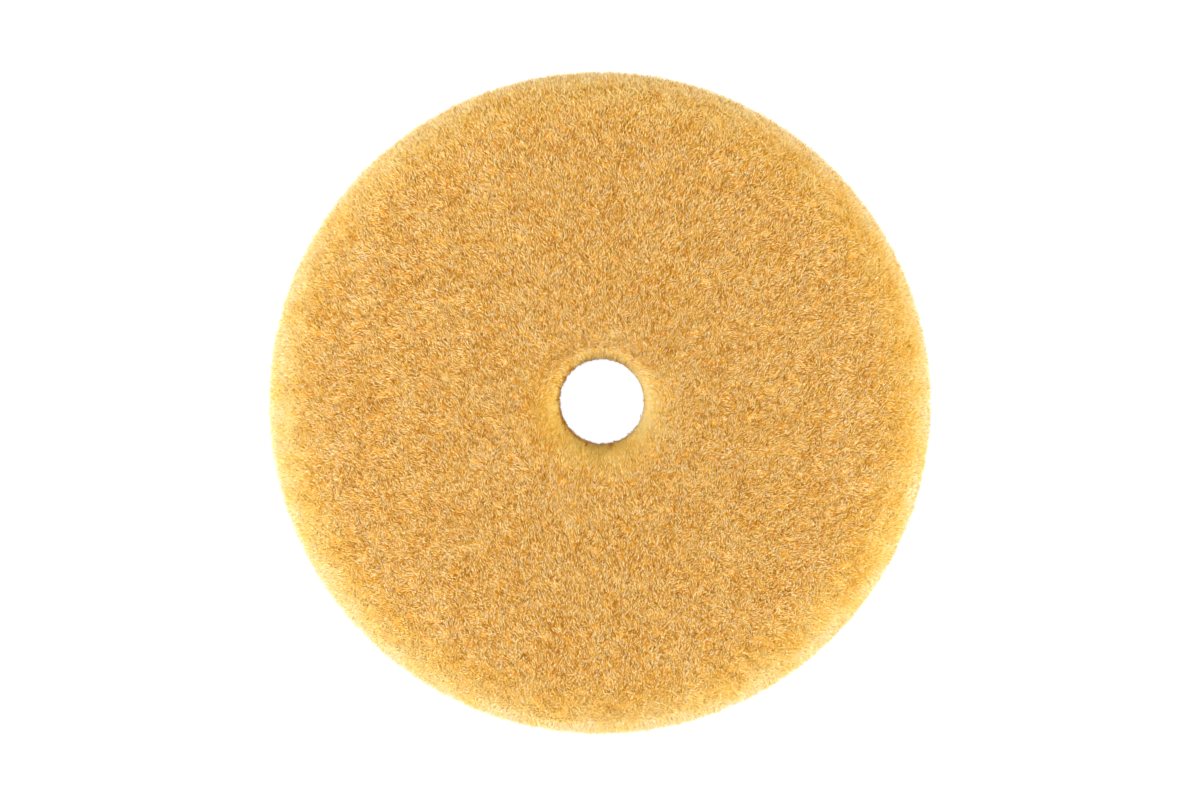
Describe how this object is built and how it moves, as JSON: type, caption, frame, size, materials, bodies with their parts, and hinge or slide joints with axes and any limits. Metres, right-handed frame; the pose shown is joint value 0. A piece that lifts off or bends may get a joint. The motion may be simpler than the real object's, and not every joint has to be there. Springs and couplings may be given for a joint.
{
  "type": "polishing pad",
  "caption": "Round lambswool polishing pad with a centring hole, on a hide and foam interlayer with a hook-and-loop back, for polishing paintwork.",
  "frame": {"origin": "centre of the rear face, where the loop nap meets the backing plate", "axes": "+Z along the pad's axis, from the loop back towards the wool working face; X and Y across the pad"},
  "size_m": [0.16, 0.16, 0.027],
  "materials": {
    "lambswool": "dense crimped golden wool fibre, matt with a soft sheen",
    "hide": "suede side of tanned sheepskin, matt",
    "bond_film": "thin hot-melt adhesive film",
    "foam": "open-cell polyurethane foam, matt",
    "loop_cloth": "knitted nylon base cloth",
    "loop_nap": "brushed nylon loops"
  },
  "bodies": {
    "root": {"wool_pile": "lambswool", "sheepskin_hide": "hide", "front_bond_film": "bond_film", "foam_interlayer": "foam", "rear_bond_film": "bond_film", "loop_base_cloth": "loop_cloth", "loop_nap": "loop_nap"}
  },
  "joints": []
}
